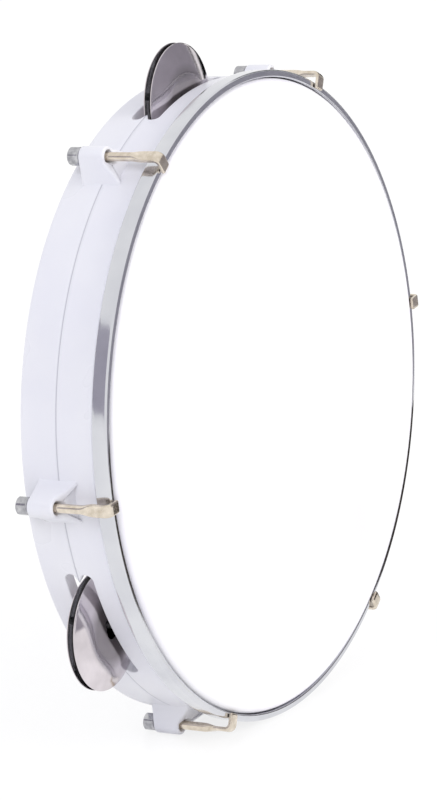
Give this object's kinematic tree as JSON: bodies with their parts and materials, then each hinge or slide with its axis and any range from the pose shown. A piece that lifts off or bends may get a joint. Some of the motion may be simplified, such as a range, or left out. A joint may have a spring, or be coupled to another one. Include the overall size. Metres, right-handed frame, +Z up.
{
  "type": "pandeiro",
  "caption": "Shallow round frame drum with a tensioned film head, claw hooks and pairs of jingles hung in slots through its white shell, standing on its edge and leaning back on its rear rim.",
  "frame": {"origin": "middle of the bounding box's bottom, on the surface that the drum stands on", "axes": "-Y the way that the head faces; +Z up; +X to the right as seen from in front of the head; the drum's own axis leans back from Y by 4.92 degrees"},
  "size_m": [0.3286, 0.0742, 0.3242],
  "materials": {
    "white_abs": "satin gloss",
    "milky_film": "smooth satin",
    "zinc_plated_steel": "dull plated",
    "chrome_plated_steel": "polished",
    "nickel_plated_steel": "bright plated",
    "polished_nickel_steel": "polished"
  },
  "bodies": {
    "frame": {"shell": "white_abs", "jingle_pin_1": "zinc_plated_steel", "jingle_pin_2": "zinc_plated_steel", "jingle_pin_3": "zinc_plated_steel"},
    "rim": {"counter_hoop": "chrome_plated_steel", "flesh_ring": "zinc_plated_steel", "drum_head": "milky_film", "tension_hook_1": "nickel_plated_steel", "tension_hook_2": "nickel_plated_steel", "tension_hook_3": "nickel_plated_steel", "tension_hook_4": "nickel_plated_steel", "tension_hook_5": "nickel_plated_steel", "tension_hook_6": "nickel_plated_steel"},
    "nut_1": {"tuning_nut_1": "chrome_plated_steel"},
    "nut_2": {"tuning_nut_2": "chrome_plated_steel"},
    "nut_3": {"tuning_nut_3": "chrome_plated_steel"},
    "nut_4": {"tuning_nut_4": "chrome_plated_steel"},
    "nut_5": {"tuning_nut_5": "chrome_plated_steel"},
    "nut_6": {"tuning_nut_6": "chrome_plated_steel"},
    "front_jingle_1": {"front_jingle_1": "polished_nickel_steel"},
    "rear_jingle_1": {"rear_jingle_1": "polished_nickel_steel"},
    "front_jingle_2": {"front_jingle_2": "polished_nickel_steel"},
    "rear_jingle_2": {"rear_jingle_2": "polished_nickel_steel"},
    "front_jingle_3": {"front_jingle_3": "polished_nickel_steel"},
    "rear_jingle_3": {"rear_jingle_3": "polished_nickel_steel"}
  },
  "joints": [
    {"name": "rim_tension", "type": "slide", "parent": "frame", "child": "rim", "axis": [0, -0.9963, 0.0858], "range_m": [0, 0.003]},
    {"name": "nut_1_turn", "type": "hinge", "parent": "frame", "child": "nut_1", "pos_m": [-0.06287, 0.00969, 0.00459], "axis": [0, 0.9963, -0.0858], "range_deg": [0, 1545]},
    {"name": "nut_2_turn", "type": "hinge", "parent": "frame", "child": "nut_2", "pos_m": [0.09588, 0.0114, 0.02449], "axis": [0, 0.9963, -0.0858], "range_deg": [0, 1545]},
    {"name": "nut_3_turn", "type": "hinge", "parent": "frame", "child": "nut_3", "pos_m": [0.15796, 0.02405, 0.17142], "axis": [0, 0.9963, -0.0858], "range_deg": [0, 1545]},
    {"name": "nut_4_turn", "type": "hinge", "parent": "frame", "child": "nut_4", "pos_m": [0.06128, 0.03498, 0.29844], "axis": [0, 0.9963, -0.0858], "range_deg": [0, 1545]},
    {"name": "nut_5_turn", "type": "hinge", "parent": "frame", "child": "nut_5", "pos_m": [-0.09747, 0.03327, 0.27854], "axis": [0, 0.9963, -0.0858], "range_deg": [0, 1545]},
    {"name": "nut_6_turn", "type": "hinge", "parent": "frame", "child": "nut_6", "pos_m": [-0.15954, 0.02062, 0.13162], "axis": [0, 0.9963, -0.0858], "range_deg": [0, 1545]},
    {"name": "jingle_1_spin", "type": "hinge", "parent": "frame", "child": "front_jingle_1", "pos_m": [-0.02885, 0.01573, 0.29632], "axis": [0, 0.9963, -0.0858], "continuous": true},
    {"name": "jingle_1_rattle", "type": "slide", "parent": "front_jingle_1", "child": "rear_jingle_1", "axis": [0, 0.9963, -0.0858], "range_m": [0, 0.0019]},
    {"name": "jingle_2_spin", "type": "hinge", "parent": "frame", "child": "front_jingle_2", "pos_m": [-0.12487, -0.00384, 0.06904], "axis": [0, 0.9963, -0.0858], "continuous": true},
    {"name": "jingle_2_rattle", "type": "slide", "parent": "front_jingle_2", "child": "rear_jingle_2", "axis": [0, 0.9963, -0.0858], "range_m": [0, 0.0019]},
    {"name": "jingle_3_spin", "type": "hinge", "parent": "frame", "child": "front_jingle_3", "pos_m": [0.13631, -0.00175, 0.09328], "axis": [0, 0.9963, -0.0858], "continuous": true},
    {"name": "jingle_3_rattle", "type": "slide", "parent": "front_jingle_3", "child": "rear_jingle_3", "axis": [0, 0.9963, -0.0858], "range_m": [0, 0.0019]}
  ],
  "couplings": [
    {"joint": "nut_1_turn", "follows": "rim_tension", "rad_per_m": 8976},
    {"joint": "nut_2_turn", "follows": "rim_tension", "rad_per_m": 8976},
    {"joint": "nut_3_turn", "follows": "rim_tension", "rad_per_m": 8976},
    {"joint": "nut_4_turn", "follows": "rim_tension", "rad_per_m": 8976},
    {"joint": "nut_5_turn", "follows": "rim_tension", "rad_per_m": 8976},
    {"joint": "nut_6_turn", "follows": "rim_tension", "rad_per_m": 8976}
  ]
}
